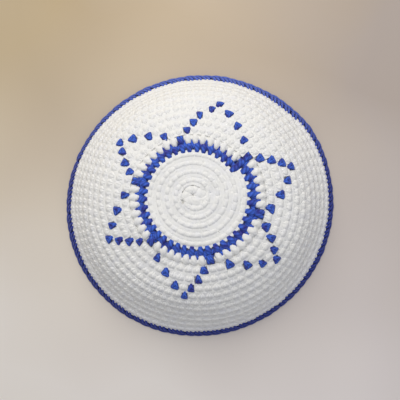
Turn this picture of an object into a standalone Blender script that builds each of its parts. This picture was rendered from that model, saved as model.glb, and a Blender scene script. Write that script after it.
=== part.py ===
"""Crocheted skullcap, standing on its rim with the hollow for the head below. Metres, +Z up, origin on the floor
below the middle of its box.

The cap is one spiral of single crochet. Each piece is drawn first as a flat pattern, in which the distance from the
middle counts rounds of crochet and the height is the depth below the outer face, and is then laid over the dome.
Azimuths run counter-clockwise seen from above.
"""

import math

import bmesh
import bpy
from mathutils import Matrix, Vector

RIM_DIAMETER = 0.170  # mean outside diameter of the rim
CAP_HEIGHT = 0.039  # rim to crown
WALL = 0.0032  # crest of a round on the outer face to crest on the inner face
OUTER_RELIEF = 0.0009  # depth of the groove between two rounds outside
INNER_RELIEF = 0.0005  # and inside
PIECE_GAP = 0.0004  # between the edges of two pieces
RIM_ROUNDING = 0.0006  # chamfer of the rim's two lower edges

DISC_ROUNDS = 6  # white rounds on the crown
RING_ROUNDS = 1  # blue rounds in the ring
STAR_ROUNDS = 5  # white rounds that carry the star's blue points
WALL_ROUNDS = 6  # plain white rounds of the sides
EDGING_ROUNDS = 1  # blue rounds along the rim
HUB = 0.74  # width of the first round, in rounds

SEAM_AZIMUTH = 42.0  # degrees, where the spiral steps from one round to the next
SEAM_WIDTH = 12.0  # degrees over which a piece's edge makes that step
SPIRAL_EASE_OUT = 3.0  # rounds over which the spiral dies out towards the level rim

OVAL = 0.0125  # share by which the rim is longer along its long axis
OVAL_AZIMUTH = 20.0  # degrees
FLARE = 0.0011  # outward lean of the rim near the seam
FLARE_AZIMUTH = 36.0  # degrees
FLARE_WIDTH = 28.0  # degrees
CROWN_SAG = 0.0006  # soft dip of the crown on one side
CROWN_SAG_AZIMUTH = 250.0  # degrees

COLUMNS = 60  # facets around

# Outer face from the crown to the rim, in equal steps of its length
#   reach: share of the rim's radius     drop: share of the cap's height
DOME = (
    (0.000, 0.000),
    (0.117, 0.003),
    (0.233, 0.010),
    (0.349, 0.030),
    (0.464, 0.073),
    (0.576, 0.147),
    (0.683, 0.249),
    (0.777, 0.400),
    (0.855, 0.594),
    (0.925, 0.801),
    (1.000, 1.000),
)

# Yarns: plain name, colour, roughness
WHITE_YARN = ("white_yarn", (0.80, 0.79, 0.77), 0.9)
BLUE_YARN = ("blue_yarn", (0.020, 0.055, 0.33), 0.85)

DISC_EDGE = HUB + DISC_ROUNDS - 1
RING_EDGE = DISC_EDGE + RING_ROUNDS
STAR_EDGE = RING_EDGE + STAR_ROUNDS
WALL_EDGE = STAR_EDGE + WALL_ROUNDS
RIM_EDGE = WALL_EDGE + EDGING_ROUNDS


def smooth(value):
    value = min(1.0, max(0.0, value))
    return value * value * (3.0 - 2.0 * value)


def degrees_apart(one, other):
    return (one - other + 180.0) % 360.0 - 180.0


def dome_share(share, column):
    """One column of the dome's table at a share of the face's length, as a smooth curve through its rows."""
    place = min(max(share, 0.0), 1.0) * (len(DOME) - 1)
    row = min(int(place), len(DOME) - 2)
    part = place - row
    here, after = DOME[row][column], DOME[row + 1][column]
    mirrored = -DOME[1][column] if column == 0 else DOME[1][column]
    before = DOME[row - 1][column] if row else mirrored
    beyond = DOME[row + 2][column] if row + 2 < len(DOME) else 2.0 * after - here
    leave, arrive = (after - before) / 2.0, (beyond - here) / 2.0
    return (
        here
        + leave * part
        + (3.0 * (after - here) - 2.0 * leave - arrive) * part**2
        + (2.0 * (here - after) + leave + arrive) * part**3
    )


def outer_face(share):
    """Distance from the axis and height of the outer face."""
    return RIM_DIAMETER / 2.0 * dome_share(share, 0), CAP_HEIGHT * (1.0 - dome_share(share, 1))


def face_length():
    steps = 200
    points = [Vector(outer_face(step / steps)) for step in range(steps + 1)]
    return sum((after - here).length for here, after in zip(points, points[1:]))


ROUND_HEIGHT = face_length() / RIM_EDGE


def spiral_shift(rounds, azimuth):
    """How many rounds further out the spiral has come at this azimuth, about its mean."""
    past_seam = (azimuth - SEAM_AZIMUTH) % 360.0 / 360.0
    from_seam = degrees_apart(azimuth, SEAM_AZIMUTH)
    ramp = SEAM_WIDTH / 2.0
    if abs(from_seam) < ramp:
        past_seam = 0.5 - (0.5 - ramp / 360.0) * from_seam / ramp
    strength = min(1.0, rounds / (HUB + 0.5), (RIM_EDGE - rounds) / SPIRAL_EASE_OUT)
    return strength * (past_seam - 0.5)


def lay_on_dome(rounds, azimuth, depth):
    share = (rounds + spiral_shift(rounds, azimuth)) / RIM_EDGE
    step = 0.002
    reach, height = outer_face(share)
    inner_reach, inner_height = outer_face(share - step)
    outer_reach, outer_height = outer_face(share + step)
    slope = math.atan2(inner_height - outer_height, outer_reach - inner_reach) if share > step else 0.0
    upright = smooth((rounds - RIM_EDGE + 1.5) / 1.5)
    lean = slope + (math.pi / 2.0 - slope) * upright
    depth /= math.cos(lean - slope)
    reach -= depth * math.sin(lean)
    height -= depth * math.cos(lean)
    reach *= 1.0 + OVAL * share**2 * math.cos(math.radians(2.0 * (azimuth - OVAL_AZIMUTH)))
    flare = smooth(1.0 - abs(degrees_apart(azimuth, FLARE_AZIMUTH)) / FLARE_WIDTH)
    reach += FLARE * flare * smooth((share - 0.9) / 0.1)
    sag = 0.5 + 0.5 * math.cos(math.radians(azimuth - CROWN_SAG_AZIMUTH))
    height -= CROWN_SAG * sag * smooth(share / 0.3) * smooth((0.75 - share) / 0.35)
    angle = math.radians(azimuth)
    return Vector((reach * math.cos(angle), reach * math.sin(angle), height))


def round_rows(first, last):
    """Places of the crests and grooves between two edges, each with 1 for a groove and 0 for a crest."""
    gap = PIECE_GAP / ROUND_HEIGHT / 2.0
    start = first + gap if first else 0.0
    end = last - gap if last < RIM_EDGE else last
    rows = [(start, 1.0 if first else 0.0)]
    groove = first + 1.0 if first else HUB
    if not first:
        rows.append((HUB / 2.0, 0.0))
    while groove < last - 0.5:
        if first or groove > HUB:
            rows.append((groove - 0.5, 0.0))
        rows.append((groove, 1.0))
        groove += 1.0
    rows.append((last - 0.5, 0.0))
    rows.append((end, 1.0))
    return rows


def section(first, last):
    rows = round_rows(first, last)
    outer = [(place, OUTER_RELIEF * groove) for place, groove in rows]
    inner = [(place, WALL - INNER_RELIEF * groove) for place, groove in reversed(rows)]
    if last < RIM_EDGE:
        return outer + inner
    shoulder = last - RIM_ROUNDING / ROUND_HEIGHT
    sole = [(shoulder, 0.0), (last, RIM_ROUNDING), (last, WALL - RIM_ROUNDING), (shoulder, WALL)]
    return outer[:-1] + sole + inner[1:]


def yarn_material(yarn):
    name, colour, roughness = yarn
    material = bpy.data.materials.new(name)
    material.use_nodes = True
    shader = material.node_tree.nodes["Principled BSDF"]
    shader.inputs["Base Color"].default_value = (*colour, 1.0)
    shader.inputs["Roughness"].default_value = roughness
    material.diffuse_color = (*colour, 1.0)
    return material


def piece(name, first, last, yarn):
    pattern = bmesh.new()
    corners = [pattern.verts.new((place, 0.0, -depth)) for place, depth in section(first, last)]
    for here, after in zip(corners, corners[1:]):
        pattern.edges.new((here, after))
    if first:
        pattern.edges.new((corners[-1], corners[0]))
    bmesh.ops.spin(
        pattern,
        geom=pattern.verts[:] + pattern.edges[:],
        cent=(0.0, 0.0, 0.0),
        axis=(0.0, 0.0, 1.0),
        angle=2.0 * math.pi,
        steps=COLUMNS,
        use_merge=True,
    )
    bmesh.ops.remove_doubles(pattern, verts=pattern.verts[:], dist=0.00001)
    for vert in pattern.verts:
        azimuth = math.degrees(math.atan2(vert.co.y, vert.co.x))
        vert.co = lay_on_dome(math.hypot(vert.co.x, vert.co.y), azimuth, -vert.co.z)
    bmesh.ops.recalc_face_normals(pattern, faces=pattern.faces[:])
    if pattern.calc_volume(signed=True) < 0.0:
        bmesh.ops.reverse_faces(pattern, faces=pattern.faces[:])
    mesh = bpy.data.meshes.new(name)
    pattern.to_mesh(mesh)
    pattern.free()
    mesh.shade_smooth()
    mesh.set_sharp_from_angle(angle=math.radians(50.0))
    mesh.materials.append(yarn_material(yarn))
    made = bpy.data.objects.new(name, mesh)
    bpy.context.scene.collection.objects.link(made)
    return made


def stand_over_origin(pieces):
    xs = [vert.co.x for made in pieces for vert in made.data.vertices]
    ys = [vert.co.y for made in pieces for vert in made.data.vertices]
    middle = Vector((min(xs) + max(xs), min(ys) + max(ys), 0.0)) / 2.0
    for made in pieces:
        made.data.transform(Matrix.Translation(-middle))


def build():
    for old in list(bpy.data.objects):
        bpy.data.objects.remove(old)
    stand_over_origin(
        [
            piece("crown_disc", 0.0, DISC_EDGE, WHITE_YARN),
            piece("blue_ring", DISC_EDGE, RING_EDGE, BLUE_YARN),
            piece("star_band", RING_EDGE, STAR_EDGE, WHITE_YARN),
            piece("side_wall", STAR_EDGE, WALL_EDGE, WHITE_YARN),
            piece("rim_edging", WALL_EDGE, RIM_EDGE, BLUE_YARN),
        ]
    )


build()
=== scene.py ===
"""Crocheted skullcap: every stitch of its spiral in yarn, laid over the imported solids. Metres, +Z up."""

import math

import bmesh
import bpy
import numpy as np
from mathutils import Matrix, Vector
from mathutils.geometry import interpolate_bezier


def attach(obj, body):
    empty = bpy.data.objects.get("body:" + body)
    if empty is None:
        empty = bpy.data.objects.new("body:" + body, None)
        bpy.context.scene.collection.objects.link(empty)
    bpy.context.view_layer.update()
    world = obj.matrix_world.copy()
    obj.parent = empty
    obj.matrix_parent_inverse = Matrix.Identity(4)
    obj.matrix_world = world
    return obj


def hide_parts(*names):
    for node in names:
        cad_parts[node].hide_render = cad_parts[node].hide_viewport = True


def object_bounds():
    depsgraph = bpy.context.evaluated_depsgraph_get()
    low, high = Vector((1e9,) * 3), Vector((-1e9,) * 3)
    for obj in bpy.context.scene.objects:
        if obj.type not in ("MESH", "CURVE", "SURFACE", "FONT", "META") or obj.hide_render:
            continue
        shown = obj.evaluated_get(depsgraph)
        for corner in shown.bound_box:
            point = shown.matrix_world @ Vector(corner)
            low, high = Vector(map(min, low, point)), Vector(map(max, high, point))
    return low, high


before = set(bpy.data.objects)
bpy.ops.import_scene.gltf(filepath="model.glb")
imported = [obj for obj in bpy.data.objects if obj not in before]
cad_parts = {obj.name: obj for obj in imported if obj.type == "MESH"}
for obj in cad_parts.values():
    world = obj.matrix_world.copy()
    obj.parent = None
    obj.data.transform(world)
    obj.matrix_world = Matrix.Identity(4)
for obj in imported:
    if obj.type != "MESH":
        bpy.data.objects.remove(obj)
cad_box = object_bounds()

# Sizes of the cap, from the frame
CAP_WIDTH = cad_box[1].x - cad_box[0].x
CAP_DEPTH = cad_box[1].y - cad_box[0].y
CAP_HEIGHT = cad_box[1].z
RIM_MARGIN = 0.0004  # by which the rim's round lies outside the mean half width of the solids' box
RIM_RADIUS = (CAP_WIDTH + CAP_DEPTH) / 4.0 + RIM_MARGIN

# The crochet, counted outwards from the crown and counter-clockwise seen from above
ROUNDS = 19
CROWN_INCREASE = 6  # stitches that each round has more than the last, up to the fifteenth
FULL_ROUND = 90  # stitches in each round from the fifteenth on
HUB = 0.74  # width of the first round, in rounds
HUB_PETALS = 6
HUB_AZIMUTH = 32.0
HUB_SHIFT = (-0.0009, 0.0010, 0.0)
HUB_SPIRAL = 0.45  # share by which the hub's reach grows in one turn
HUB_HOLES = (35.0, 90.0, 153.0, 212.0, 286.0)  # degrees
HOLE_REACH = 8.0  # degrees from the middle of a hole to the strands beside it
BEHIND_HUB = [(2, place) for place in range(6)]  # stitches of the second round, deep behind the hub
SEAM_AZIMUTH = 40.0  # degrees, where the spiral passes from one round to the next
SPIRAL_EASE_IN = HUB + 0.5  # rounds from the crown over which the spiral sets in
SPIRAL_EASE_OUT = 3.0  # rounds over which the spiral dies out towards the level rim
RIM_EDGE = ROUNDS - 1 + HUB
DISC_ROUNDS = range(2, 7)
RING_ROUND = 7
FINGER_ROUND = 8
STAR_ROUNDS = range(9, 13)
SIDE_ROUNDS = range(13, 19)
EDGING_ROUND = 19

# Blue stitches as (round, place in the round). A point of the star is charted by its places in its sector,
# a sixth of the round. The point at the seam, where the spiral steps, is charted by itself.
RING_STITCHES = ((6, 35),)
STAR_ROOTS = ((8, 8), (8, 16), (8, 24), (8, 32), (8, 40), (8, 47))
POINT_CHART = ((9, 2), (9, 8), (10, 4), (10, 8), (11, 6), (11, 8), (12, 8))
POINT_SECTORS = ((1, 0), (2, 0), (3, 0), (4, 0), (5, -1))  # sector, stitches by which its point has slipped
SEAM_POINT = ((9, 8), (10, 1), (10, 8), (11, 3), (11, 8), (12, 5), (12, 7), (13, 7))

# Shape of the dome, as in the solids
OVAL = 0.0125
OVAL_AZIMUTH = 20.0
FLARE = 0.0011
FLARE_AZIMUTH = 36.0
FLARE_WIDTH = 28.0
CROWN_SAG = 0.0006
CROWN_SAG_AZIMUTH = 250.0
UPRIGHT_ROUNDS = 1.5  # last rounds, through which the wall's thickness turns level

# Outer face from the crown to the rim, in equal steps of its length
#   reach: share of the rim's radius     drop: share of the cap's height
DOME = (
    (0.000, 0.000),
    (0.117, 0.003),
    (0.233, 0.010),
    (0.349, 0.030),
    (0.464, 0.073),
    (0.576, 0.147),
    (0.683, 0.249),
    (0.777, 0.400),
    (0.855, 0.594),
    (0.925, 0.801),
    (1.000, 1.000),
)

# One stitch: x in stitches, y in rounds outwards, z in rounds up from just above the wall's inner side
STITCH_CREST = 0.56
EDGING_HEIGHT = 0.78  # share of a round that the edging's stitches take up below their chain
SMOOTH_GROUND = (1.15, 0.37, 0.46)  # reach, rise and fill of the crown's stitches, which make an even rope
BEADED_GROUND = (0.86, 0.43, 0.44)  # the same of the sides' stitches, which stand out like beads

# Unevenness of handwork
SLIP = 0.07
LEAN = 0.08
SWELL = 0.05
STAR_SWELL = 0.16
SINK = 0.00012
FABRIC_WAVE = 0.00035

# Slow unevenness round the cap: a constant, then the azimuth's cosine and sine, then those of its double
PULL = ((0.04, 0.0), (0.11, -0.06), (0.06, -0.18))  # rounds outwards
TWIST = ((0.95, 0.0), (-0.65, -0.43), (0.41, 0.56))  # degrees counter-clockwise
RIM_PULL = ((-0.06, 0.0), (0.0, -0.13))  # rounds outwards, of the white's edge along the rim
POINT_PULL = 0.22  # rounds by which the points of the star are drawn outwards
TUGS = ((77.0, 10.8, 2.2), (157.0, 9.0, 1.6), (352.0, 8.0, 2.4))  # azimuth, rounds from the crown, degrees
TUG_WIDTH = 8.0  # degrees
TUG_HEIGHT = 1.3  # rounds

# Colours of a yarn: dye on top of a strand, painted shade in the hollows and on the flanks, where the dye
# drifts, painted shade at the rim, painted light at the rim's back
WHITE_DYES_AND_PAINTED_LIGHT = (
    (0.905, 0.895, 0.855),
    (0.82, 0.81, 0.785),
    (0.88, 0.875, 0.87),
    (0.87, 0.865, 0.87),
    (0.88, 0.87, 0.86),
)
BLUE_DYES_AND_PAINTED_LIGHT = (
    (0.066, 0.165, 0.74),
    (0.005, 0.010, 0.10),
    (0.050, 0.048, 0.32),
    (0.045, 0.070, 0.39),
    (0.12, 0.20, 0.76),
)
WHITE_FLANKS = 0.0  # shade on the flanks of a strand
BLUE_FLANKS = 0.8
PLIES_AROUND = 4.0  # plies met on the way round a strand
PLIES_ALONG = 3.0  # plies met on the way along a strand
FIBRE_SCALE = 2600.0
DRIFT_SCALE = 230.0
# Painted shade on the yarn low along the rim, and painted light on the rim's back
RIM_SHADE_HEIGHT = 0.009
RIM_SHADE_RAMP = 250.0  # share for each metre below that height
RIM_LIGHT_RAMP = 16.0  # share for each metre towards the back
RIM_LIGHT_START = 0.3

# Floor, with its colours in front and at the back, and in the pool behind the cap
FLOOR_REACH = 3.0
FRONT_LEFT, FRONT_RIGHT = (0.775, 0.725, 0.665), (0.765, 0.715, 0.70)
BACK_LEFT, BACK_RIGHT = (0.50, 0.375, 0.20), (0.47, 0.40, 0.35)
BEHIND_CAP = (0.74, 0.60, 0.43)
BEHIND_CAP_MIDDLE = (0.0, 0.14, 0.0)
CLOUD_SCALE = 9.0

# Lights: azimuth and elevation in degrees, distance, width, watts, colour
WINDOW = (104.0, 47.0, 1.2, 1.4, 11.7, (1.0, 0.966, 0.913))
CEILING = (340.0, 70.0, 1.3, 1.5, 4.0, (0.86, 0.91, 1.0))
SKY = (0.90, 0.918, 1.0)
SKY_STRENGTH = 0.30

# Camera over the cap
PICTURE = 400.0  # pixels across
FOCAL_PIXELS = 942.0
SENSOR = 36.0  # millimetres
CAMERA_DISTANCE = 0.600
CAMERA_TILT = 7.4  # degrees from straight down
CAMERA_AZIMUTH = 302.0
AIM = Vector((0.0008, 0.0023, 0.0))


def smooth(value):
    value = np.clip(value, 0.0, 1.0)
    return value * value * (3.0 - 2.0 * value)


def degrees_apart(one, other):
    return (one - other + 180.0) % 360.0 - 180.0


def dome_share(share, column):
    """One column of the dome's table at shares of the face's length, as a smooth curve through its rows."""
    rows = np.array(DOME)[:, column]
    lead_in = -rows[1] if column == 0 else rows[1]
    rows = np.concatenate([[lead_in], rows, [2.0 * rows[-1] - rows[-2]]])
    place = np.clip(share, 0.0, 1.0) * (len(DOME) - 1)
    row = np.minimum(place.astype(int), len(DOME) - 2)
    part = place - row
    before, here, after, beyond = (rows[row + step] for step in range(4))
    leave, arrive = (after - before) / 2.0, (beyond - here) / 2.0
    return (
        here
        + leave * part
        + (3.0 * (after - here) - 2.0 * leave - arrive) * part**2
        + (2.0 * (here - after) + leave + arrive) * part**3
    )


def outer_face(share):
    return RIM_RADIUS * dome_share(share, 0), CAP_HEIGHT * (1.0 - dome_share(share, 1))


def face_length():
    reach, height = outer_face(np.linspace(0.0, 1.0, 400))
    return np.hypot(np.diff(reach), np.diff(height)).sum()


ROUND_HEIGHT = face_length() / RIM_EDGE


def on_dome(rounds, azimuth, depth):
    """Points at that many rounds from the crown, at that azimuth, that deep below the outer face."""
    rounds = np.clip(rounds, 0.02, RIM_EDGE)
    share = rounds / RIM_EDGE
    step = 0.002
    reach, height = outer_face(share)
    inner_reach, inner_height = outer_face(share - step)
    outer_reach, outer_height = outer_face(share + step)
    slope = np.arctan2(inner_height - outer_height, outer_reach - inner_reach)
    lean = slope + (np.pi / 2.0 - slope) * smooth((rounds - RIM_EDGE + UPRIGHT_ROUNDS) / UPRIGHT_ROUNDS)
    depth = depth / np.cos(lean - slope)
    reach = reach - depth * np.sin(lean)
    height = height - depth * np.cos(lean)
    reach = reach * (1.0 + OVAL * share**2 * np.cos(np.radians(2.0 * (azimuth - OVAL_AZIMUTH))))
    flare = smooth(1.0 - np.abs(degrees_apart(azimuth, FLARE_AZIMUTH)) / FLARE_WIDTH)
    reach = reach + FLARE * flare * smooth((share - 0.9) / 0.1)
    sag = 0.5 + 0.5 * np.cos(np.radians(azimuth - CROWN_SAG_AZIMUTH))
    height = height - CROWN_SAG * sag * smooth(share / 0.3) * smooth((0.75 - share) / 0.35)
    angle = np.radians(azimuth)
    return np.stack([reach * np.cos(angle), reach * np.sin(angle), height], axis=-1)


def fabric_middle():
    """Middle of the rim's box, which the solids have over the origin."""
    azimuth = np.arange(0.0, 360.0)
    rim = on_dome(np.full(360, RIM_EDGE), azimuth, np.zeros(360))
    middle = (rim.max(axis=0) + rim.min(axis=0)) / 2.0
    middle[2] = 0.0
    return middle


FABRIC_MIDDLE = fabric_middle()


def stitches_in(round_number):
    return np.minimum(CROWN_INCREASE * round_number, FULL_ROUND)


def uneven(shares, angle):
    return sum(cos * np.cos(n * angle) + sin * np.sin(n * angle) for n, (cos, sin) in enumerate(shares))


def sets_in(rounds, start, length):
    """None of it up to the start, all of it from that many rounds further out."""
    return smooth((rounds - start) / length)


def dies_out(rounds, length):
    """All of it up to that many rounds before the rim, none of it at the rim."""
    return smooth((RIM_EDGE - rounds) / length)


def lay_in_spiral(round_number, place, across, along, depth):
    """Points of stitches: across in stitches from a stitch's middle, along in rounds from its foot."""
    turn = (place + 0.5 + across) / stitches_in(round_number)
    rounds = round_number - 2.0 + HUB + along
    strength = np.minimum(rounds / SPIRAL_EASE_IN, (RIM_EDGE - rounds) / SPIRAL_EASE_OUT)
    rounds = rounds + np.clip(strength, 0.0, 1.0) * (turn - 0.5)
    azimuth = SEAM_AZIMUTH + 360.0 * turn
    angle = np.radians(azimuth)
    give = sets_in(rounds, 2.0, 9.0) * dies_out(rounds, 6.0)
    rounds = rounds + give * uneven(PULL, angle)
    rounds = rounds + POINT_PULL * sets_in(rounds, 8.0, 3.0) * dies_out(rounds, 5.0)
    rounds = rounds + sets_in(rounds, 15.0, 2.5) * dies_out(rounds, 1.2) * uneven(RIM_PULL, angle)
    azimuth = azimuth + give * uneven(TWIST, angle)
    for tug_azimuth, tug_rounds, tug in TUGS:
        aside = degrees_apart(azimuth, tug_azimuth) / TUG_WIDTH
        apart = aside**2 + ((rounds - tug_rounds) / TUG_HEIGHT) ** 2
        azimuth = azimuth + tug * np.exp(-apart)
    wave = np.sin(3.0 * angle + 0.9 * rounds) + 0.7 * np.sin(5.0 * angle - 0.6 * rounds + 1.3)
    return on_dome(rounds, azimuth, depth + FABRIC_WAVE * wave * dies_out(rounds, 2.0))


def lay_as_hub(round_number, place, across, along, depth):
    """Points of the petals: across counts petals, along counts rounds from the middle of the hub."""
    azimuth = HUB_AZIMUTH + 360.0 * (place + 0.5 + across) / HUB_PETALS
    along = along * (1.0 + HUB_SPIRAL * ((azimuth - SEAM_AZIMUTH) / 360.0 - 0.5))
    return on_dome(along, azimuth, depth) + HUB_SHIFT


def strand(stitch, path, thickness, steps=6, sides=6, breadth=1.0, bluntness=3.0):
    """Rolls a flat grid up into a plump strand of yarn along a bent path, closed at both ends."""
    flat = bmesh.ops.create_grid(stitch, x_segments=steps, y_segments=sides, size=0.5, calc_uvs=True)["verts"]
    spots = 4 * steps
    bend = interpolate_bezier(*map(Vector, path), spots + 1)
    for vert in flat:
        along, around = vert.co.x + 0.5, 2.0 * math.pi * (vert.co.y + 0.5)
        spot = round(along * spots)
        heading = (bend[min(spot + 1, spots)] - bend[max(spot - 1, 0)]).normalized()
        side = heading.cross(Vector((0.0, 0.0, 1.0))).normalized()
        above = side.cross(heading)
        radius = thickness * (1.0 - abs(2.0 * along - 1.0) ** bluntness) ** (1.0 / bluntness)
        vert.co = bend[spot] + radius * (breadth * side * math.cos(around) + above * math.sin(around))
        for face in vert.link_faces:
            face.smooth = True
    bmesh.ops.remove_doubles(stitch, verts=flat, dist=0.0001)


def finished_stitch(name, stitch):
    bmesh.ops.recalc_face_normals(stitch, faces=stitch.faces[:])
    mesh = bpy.data.meshes.new(name)
    stitch.to_mesh(mesh)
    stitch.free()
    return mesh


def new_stitch():
    stitch = bmesh.new()
    stitch.loops.layers.uv.new("yarn")
    return stitch


def backing(stitch, top):
    """Close yarn behind a stitch, and the bar of its wrong side."""
    core = bmesh.ops.create_cube(stitch, size=1.0)["verts"]
    bmesh.ops.scale(stitch, vec=(1.2, 1.1, top - 0.03), verts=core)
    bmesh.ops.translate(stitch, vec=(0.0, 0.5, (top + 0.03) / 2.0), verts=core)
    bar = ((-0.56, 0.50, 0.10), (-0.2, 0.60, -0.03), (0.2, 0.62, -0.03), (0.56, 0.54, 0.10))
    strand(stitch, bar, 0.16, 3, 4)


def top_loop(stitch, lift=0.0, thickness=0.22, steps=4, sides=6):
    path = ((-0.60, 1.04, 0.20), (-0.2, 1.04, 0.26), (0.2, 1.08, 0.26), (0.60, 1.06, 0.20))
    strand(stitch, [(x, y, z + lift) for x, y, z in path], thickness, steps, sides)


def legs(stitch, path, thickness, steps=6, sides=6):
    for hand in (-1.0, 1.0):
        strand(stitch, [(hand * x, y, z) for x, y, z in path], thickness, steps, sides)


def belly(stitch, height, reach=1.0, thickness=0.37):
    """The body of a stitch, which runs into the next. The further it reaches, the smoother the rope."""
    path = [(x, 0.52, height) for x in (-reach, -0.4 * reach, 0.4 * reach, reach)]
    strand(stitch, path, thickness, 3, 6, breadth=1.3)


def ground_stitch(reach, rise, fill):
    """A stitch of the plain ground, whose V half sinks into the rope that its round makes."""
    stitch = new_stitch()
    backing(stitch, fill)
    belly(stitch, 0.22, reach, 0.34)
    path = ((0.05, -0.16, 0.12), (0.10, 0.16, rise), (0.20, 0.66, rise), (0.36, 0.96, 0.18))
    legs(stitch, path, 0.20, 4, 5)
    top_loop(stitch, lift=fill - 0.43, steps=3, sides=4)
    return finished_stitch("ground_stitch", stitch)


def finger_stitch():
    """A stitch that bites into a round of the other colour: its foot is a plump round finger."""
    stitch = new_stitch()
    backing(stitch, 0.26)
    belly(stitch, 0.18)
    path = ((-0.02, -0.40, 0.20), (0.0, 0.05, 0.46), (0.03, 0.60, 0.44), (0.06, 1.20, 0.28))
    strand(stitch, path, 0.27, breadth=1.75, bluntness=1.8)
    top_loop(stitch, -0.02, 0.28, 3, 4)
    return finished_stitch("finger_stitch", stitch)


def ring_stitch():
    """A stitch of the ring, with the loop over its top, which shows between the fingers of the next round."""
    stitch = new_stitch()
    backing(stitch, 0.30)
    belly(stitch, 0.15)
    path = ((0.0, -0.36, 0.20), (0.0, 0.05, 0.46), (0.02, 0.50, 0.46), (0.05, 0.98, 0.20))
    strand(stitch, path, 0.27, breadth=1.65)
    top_loop(stitch, -0.07, 0.25)
    return finished_stitch("ring_stitch", stitch)


def ring_tip():
    """The ring's yarn where it is drawn up to a point between two fingers."""
    tip = new_stitch()
    path = ((0.5, -0.60, 0.14), (0.5, -0.15, 0.24), (0.5, 0.15, 0.30), (0.5, 0.80, 0.26))
    strand(tip, path, 0.20, 5, 6, breadth=1.9, bluntness=1.6)
    return finished_stitch("ring_tip", tip)


def star_root():
    """A stitch of the star that stands on the ring, short and broad."""
    stitch = new_stitch()
    backing(stitch, 0.14)
    legs(stitch, ((0.08, -0.20, 0.20), (0.10, 0.10, 0.46), (0.17, 0.52, 0.46), (0.28, 0.98, 0.28)), 0.31)
    return finished_stitch("star_root", stitch)


def crown_bed():
    """Deep yarn behind the hub, dark in the holes."""
    stitch = new_stitch()
    backing(stitch, 0.08)
    top_loop(stitch, lift=-0.04)
    return finished_stitch("crown_bed", stitch)


def star_bed():
    """The ground's yarn, carried behind and above a stitch of the star."""
    stitch = new_stitch()
    backing(stitch, 0.24)
    top_loop(stitch)
    return finished_stitch("star_bed", stitch)


def lone_stitch():
    """A stitch of the star: a short plump V with its loop across the top. The ground closes in around it."""
    stitch = new_stitch()
    path = ((0.00, -0.14, 0.16), (0.03, 0.16, 0.47), (0.18, 0.54, 0.47), (0.46, 0.96, 0.26))
    legs(stitch, path, 0.23)
    loop = ((-0.50, 0.78, 0.28), (-0.16, 0.72, 0.38), (0.16, 0.72, 0.38), (0.50, 0.78, 0.28))
    strand(stitch, loop, 0.22, 4)
    return finished_stitch("lone_stitch", stitch)


def edging_stitch():
    """A stitch of the edging: strands that lean along the rim, over its backing."""
    stitch = new_stitch()
    backing(stitch, 0.24)
    for start in (-0.42, 0.02):
        path = ((0.0, -0.30, 0.18), (0.02, 0.05, 0.46), (0.30, 0.55, 0.44), (0.62, 1.02, 0.24))
        strand(stitch, [(start + x, y, z) for x, y, z in path], 0.20)
    return finished_stitch("edging_stitch", stitch)


def crown_petal():
    """One of the strands drawn together over the ring that the crochet starts from."""
    petal = new_stitch()
    path = ((0.0, 0.0, 0.24), (0.0, 0.35, 0.29), (0.0, 0.85, 0.29), (0.0, 1.48, 0.22))
    strand(petal, path, 0.29, 8, 8, breadth=3.3, bluntness=2.0)
    return finished_stitch("crown_petal", petal)


def crown_collar():
    """The strands around the hub. A small hole is left where one ends and the next begins."""
    collar = new_stitch()
    for hole, next_hole in zip(HUB_HOLES, (*HUB_HOLES[1:], HUB_HOLES[0] + 360.0)):
        ends = (hole + HOLE_REACH, next_hole - HOLE_REACH)
        start, end = ((azimuth - HUB_AZIMUTH) * HUB_PETALS / 360.0 - 0.5 for azimuth in ends)
        path = [(start + (end - start) * part, 1.43, 0.29) for part in (0.0, 0.33, 0.67, 1.0)]
        strand(collar, path, 0.235, 12, 6)
    return finished_stitch("crown_collar", collar)


def chain_link():
    """One link of the chain along the rim: its outer and its inner loop."""
    link = new_stitch()
    strand(link, ((-0.85, 0.72, 0.26), (-0.3, 0.80, 0.40), (0.3, 0.84, 0.42), (0.85, 0.84, 0.26)), 0.17)
    strand(link, ((-0.80, 0.74, 0.06), (-0.2, 0.80, -0.04), (0.3, 0.78, -0.04), (0.80, 0.74, 0.06)), 0.15)
    return finished_stitch("chain_link", link)


def strip_of(name, pattern, count):
    """A flat strip of stitches after one pattern, each one stitch further on than the last."""
    strip = bpy.data.objects.new(name, pattern)
    bpy.context.scene.collection.objects.link(strip)
    array = strip.modifiers.new("strip", "ARRAY")
    array.count = count
    array.use_relative_offset = False
    array.use_constant_offset = True
    array.constant_offset_displace = (1.0, 0.0, 0.0)
    graph = bpy.context.evaluated_depsgraph_get()
    fabric = bpy.data.meshes.new_from_object(strip.evaluated_get(graph))
    strip.modifiers.clear()
    strip.data = fabric
    fabric.name = name
    return strip


def crochet(name, pattern, stitches, lay=lay_in_spiral, squeeze=1.0, swell=SWELL):
    """Works a strip of stitches after one pattern and lays each in its place on the dome."""
    strip = strip_of(name, pattern, len(stitches))
    fabric = strip.data
    points = np.empty(len(fabric.vertices) * 3)
    fabric.vertices.foreach_get("co", points)
    across, along, above = points.reshape(-1, 3).T
    copy = np.repeat(np.arange(len(stitches)), len(pattern.vertices))
    round_number, place = np.array(stitches).T
    hand = np.random.default_rng(len(stitches)).uniform(-1.0, 1.0, (4, len(stitches)))
    slip, lean, swollen, sunk = hand[:, copy]
    points = lay(
        round_number[copy],
        place[copy],
        (across - copy) * (1.0 + swell * swollen) + SLIP * slip + LEAN * lean * along,
        along * squeeze,
        (STITCH_CREST - above) * ROUND_HEIGHT + SINK * sunk,
    )
    fabric.vertices.foreach_set("co", (points - FABRIC_MIDDLE).ravel())
    fabric.update()
    return strip


def whole_round(round_number):
    return [(round_number, place) for place in range(stitches_in(round_number))]


def whole_rounds(rounds):
    return [stitch for round_number in rounds for stitch in whole_round(round_number)]


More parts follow.
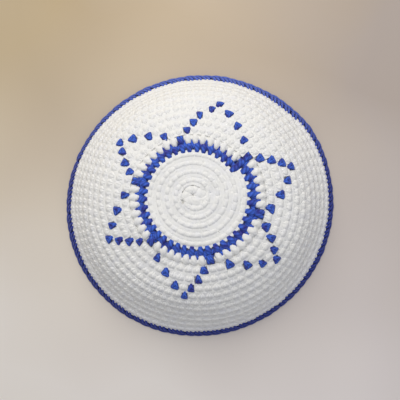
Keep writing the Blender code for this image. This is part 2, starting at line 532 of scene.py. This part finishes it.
def star_stitches():
    charted = [
        (round_number, round_number * sector + place + slip)
        for sector, slip in POINT_SECTORS
        for round_number, place in POINT_CHART
    ]
    return charted + list(SEAM_POINT)


def left_white(stitches, blue):
    return [stitch for stitch in stitches if stitch not in blue]


class Wire:
    """A socket of a material that can stand in a sum."""

    def __init__(self, finish, socket):
        self.finish = finish
        self.socket = socket

    def maths(self, operation, *others, swap=False):
        values = (*others, self) if swap else (self, *others)
        return self.finish.node("ShaderNodeMath", {"operation": operation}, dict(enumerate(values)))

    def __add__(self, other):
        return self.maths("ADD", other)

    def __mul__(self, other):
        return self.maths("MULTIPLY", other)

    def __sub__(self, other):
        return self.maths("SUBTRACT", other)

    def __rsub__(self, other):
        return self.maths("SUBTRACT", other, swap=True)

    __radd__ = __add__
    __rmul__ = __mul__


class Finish:
    """A material whose nodes are added by call."""

    def __init__(self, name):
        self.material = bpy.data.materials.new(name)
        self.material.use_nodes = True
        self.tree = self.material.node_tree
        self.shader = self.tree.nodes["Principled BSDF"]

    def node(self, kind, settings, sockets, output=0):
        made = self.tree.nodes.new(kind)
        for name, value in settings.items():
            setattr(made, name, value)
        for name, value in sockets.items():
            self.connect(made.inputs[name], value)
        return Wire(self, made.outputs[output])

    def connect(self, socket, value):
        if isinstance(value, Wire):
            self.tree.links.new(value.socket, socket)
        else:
            socket.default_value = value

    def shade(self, sockets):
        for name, value in sockets.items():
            self.connect(self.shader.inputs[name], value)

    def coordinates(self, output):
        return self.node("ShaderNodeTexCoord", {}, {}, output)

    def parts(self, vector):
        split = self.node("ShaderNodeSeparateXYZ", {}, {"Vector": vector})
        return [Wire(self, socket) for socket in split.socket.node.outputs]

    def clamp(self, value):
        return self.node("ShaderNodeClamp", {}, {"Value": value})

    def noise(self, vector, scale, detail):
        return self.node("ShaderNodeTexNoise", {}, {"Vector": vector, "Scale": scale, "Detail": detail})

    def blend(self, share, first, second):
        return self.node("ShaderNodeMix", {"data_type": "RGBA"}, {0: share, 6: first, 7: second}, 2)


def yarn(name, dyes_and_painted_light, flanks):
    """Spun yarn: plies that turn along the strand, with painted shade in the hollows between them, fine
    fibres, painted shade on its flanks, and a dye that drifts slowly, with painted shade low along the rim
    and painted light at the rim's back."""
    finish = Finish(name)
    # Dye on top, painted shade, drifted dye, painted shade at the rim, painted light at the rim's back
    lit, dark, drifted, rim, back_rim = ((*dye_and_painted_light, 1.0) for dye_and_painted_light in dyes_and_painted_light)
    length, turn, _ = finish.parts(finish.coordinates("UV"))
    place = finish.coordinates("Object")
    _, depth, height = finish.parts(place)
    twist = turn * (2.0 * math.pi * PLIES_AROUND) + length * (2.0 * math.pi * PLIES_ALONG)
    plies = twist.maths("SINE") * 0.5 + 0.5
    flank = 1.0 - (turn * (2.0 * math.pi)).maths("SINE")
    fibres = finish.noise(place, FIBRE_SCALE, 3.0)
    drift = finish.clamp(finish.noise(place, DRIFT_SCALE, 1.0) * 4.0 - 1.8)
    # Painted shade low along the rim, and painted light on the rim's back
    painted_rim_shade = finish.clamp((RIM_SHADE_HEIGHT - height) * RIM_SHADE_RAMP)
    painted_rim_light = finish.clamp(depth * RIM_LIGHT_RAMP - RIM_LIGHT_START)
    dye_and_painted_light = finish.blend(painted_rim_shade, finish.blend(drift, lit, drifted), finish.blend(painted_rim_light, rim, back_rim))
    # Painted shade in the hollows between the plies and on the flanks, mixed with random fibre tone
    shaded = (1.0 - plies) * 0.5 + (fibres - 0.5) * 0.5 + flank * flanks
    relief = {"Strength": 0.4, "Distance": 0.0002, "Height": plies + fibres * 0.4}
    finish.shade(
        {
            "Base Color": finish.blend(shaded, dye_and_painted_light, dark),
            "Roughness": 0.8,
            "Specular IOR Level": 0.15,
            "Sheen Weight": 0.2,
            "Sheen Roughness": 0.5,
            "Normal": finish.node("ShaderNodeBump", {}, relief),
        }
    )
    return finish.material


def floor_finish():
    """Pale plain ground: warm sand at the far left, grey at the far right, paler and cooler in front."""
    finish = Finish("pale_ground")
    colours = (FRONT_LEFT, FRONT_RIGHT, BACK_LEFT, BACK_RIGHT, BEHIND_CAP)
    front_left, front_right, back_left, back_right, behind_cap = ((*colour, 1.0) for colour in colours)
    place = finish.coordinates("Object")
    right, back, _ = finish.parts(place)
    cloud = finish.noise(place, CLOUD_SCALE, 1.0) - 0.5
    to_right = finish.clamp(right * 4.5 + cloud + 0.5)
    to_back = finish.clamp(back * 4.0 + right * 1.2 + cloud * 0.6 + 0.55)
    front = finish.blend(to_right, front_left, front_right)
    behind = finish.blend(to_right, back_left, back_right)
    ends = {0: place, 1: BEHIND_CAP_MIDDLE}
    distance = finish.node("ShaderNodeVectorMath", {"operation": "DISTANCE"}, ends, 1)
    near_cap = finish.clamp(0.6 - distance * 5.0)
    ground = finish.blend(near_cap, finish.blend(to_back, front, behind), behind_cap)
    finish.shade({"Base Color": ground, "Roughness": 0.9})
    return finish.material


def lay_floor():
    ground = bmesh.new()
    bmesh.ops.create_grid(ground, x_segments=1, y_segments=1, size=FLOOR_REACH)
    mesh = bpy.data.meshes.new("floor")
    ground.to_mesh(mesh)
    ground.free()
    mesh.materials.append(floor_finish())
    floor = bpy.data.objects.new("floor", mesh)
    bpy.context.scene.collection.objects.link(floor)


def direction(azimuth, elevation):
    azimuth, elevation = math.radians(azimuth), math.radians(elevation)
    level = math.cos(elevation)
    return Vector((level * math.cos(azimuth), level * math.sin(azimuth), math.sin(elevation)))


def soft_light(name, azimuth, elevation, distance, size, power, colour):
    data = bpy.data.lights.new(name, "AREA")
    data.shape = "DISK"
    data.size = size
    data.energy = power
    data.color = colour
    light = bpy.data.objects.new(name, data)
    away = direction(azimuth, elevation)
    light.location = away * distance
    light.rotation_euler = away.to_track_quat("Z", "Y").to_euler()
    bpy.context.scene.collection.objects.link(light)


def light_studio():
    world = bpy.data.worlds.new("studio")
    bpy.context.scene.world = world
    world.use_nodes = True
    background = world.node_tree.nodes["Background"]
    background.inputs["Color"].default_value = (*SKY, 1.0)
    background.inputs["Strength"].default_value = SKY_STRENGTH
    soft_light("window", *WINDOW)
    soft_light("ceiling", *CEILING)


def set_camera():
    data = bpy.data.cameras.new("camera")
    data.sensor_width = SENSOR
    data.lens = FOCAL_PIXELS / PICTURE * SENSOR
    camera = bpy.data.objects.new("camera", data)
    bpy.context.scene.collection.objects.link(camera)
    bpy.context.scene.camera = camera
    place = direction(CAMERA_AZIMUTH, 90.0 - CAMERA_TILT) * CAMERA_DISTANCE
    back = (place - AIM).normalized()
    right = Vector((0.0, 1.0, 0.0)).cross(back).normalized()
    up = back.cross(right)
    camera.matrix_world = Matrix.Translation(place) @ Matrix((right, up, back)).transposed().to_4x4()


def dress(piece, node, slot, material):
    piece.data.materials.clear()
    piece.data.materials.append(material)
    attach(piece, "root")
    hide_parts(node)


def crochet_crown_disc(white, ring):
    petals = [(1, place) for place in range(HUB_PETALS)]
    disc = left_white(whole_rounds(DISC_ROUNDS), [*ring, *BEHIND_HUB])
    dress(crochet("crown_hub", crown_petal(), petals, lay_as_hub), "crown_disc", *white)
    dress(crochet("crown_bed", crown_bed(), BEHIND_HUB), "crown_disc", *white)
    dress(crochet("crown_collar", crown_collar(), [(1, 0)], lay_as_hub), "crown_disc", *white)
    dress(crochet("crown_disc_stitches", ground_stitch(*SMOOTH_GROUND), disc), "crown_disc", *white)


def crochet_blue_ring(blue, ring, fingers):
    dress(crochet("blue_ring_stitches", ring_stitch(), ring), "blue_ring", *blue)
    dress(crochet("blue_ring_tips", ring_tip(), fingers), "blue_ring", *blue)
    dress(crochet("star_roots", star_root(), STAR_ROOTS), "blue_ring", *blue)


def crochet_star_band(white, blue, fingers, star):
    ground = left_white(whole_rounds(STAR_ROUNDS), star)
    dress(crochet("star_band_fingers", finger_stitch(), fingers), "star_band", *white)
    dress(crochet("star_band_stitches", ground_stitch(*BEADED_GROUND), ground), "star_band", *white)
    dress(crochet("star_bed", star_bed(), star), "star_band", *white)
    dress(crochet("star_point_stitches", lone_stitch(), star, swell=STAR_SWELL), "star_band", *blue)


def crochet_side_wall(white, star):
    sides = left_white(whole_rounds(SIDE_ROUNDS), star)
    dress(crochet("side_wall_stitches", ground_stitch(*BEADED_GROUND), sides), "side_wall", *white)


def crochet_rim_edging(blue):
    edging = whole_round(EDGING_ROUND)
    dress(crochet("rim_edging_stitches", edging_stitch(), edging, squeeze=EDGING_HEIGHT), "rim_edging", *blue)
    dress(crochet("rim_chain", chain_link(), edging), "rim_edging", *blue)


def crochet_cap():
    white = ("white_yarn", yarn("white_yarn", WHITE_DYES_AND_PAINTED_LIGHT, WHITE_FLANKS))
    blue = ("blue_yarn", yarn("blue_yarn", BLUE_DYES_AND_PAINTED_LIGHT, BLUE_FLANKS))
    ring = [*whole_round(RING_ROUND), *RING_STITCHES]
    fingers = left_white(whole_round(FINGER_ROUND), STAR_ROOTS)
    star = star_stitches()
    crochet_crown_disc(white, ring)
    crochet_blue_ring(blue, ring, fingers)
    crochet_star_band(white, blue, fingers, star)
    crochet_side_wall(white, star)
    crochet_rim_edging(blue)


crochet_cap()
lay_floor()
light_studio()
set_camera()
bpy.context.scene.view_settings.view_transform = "Standard"
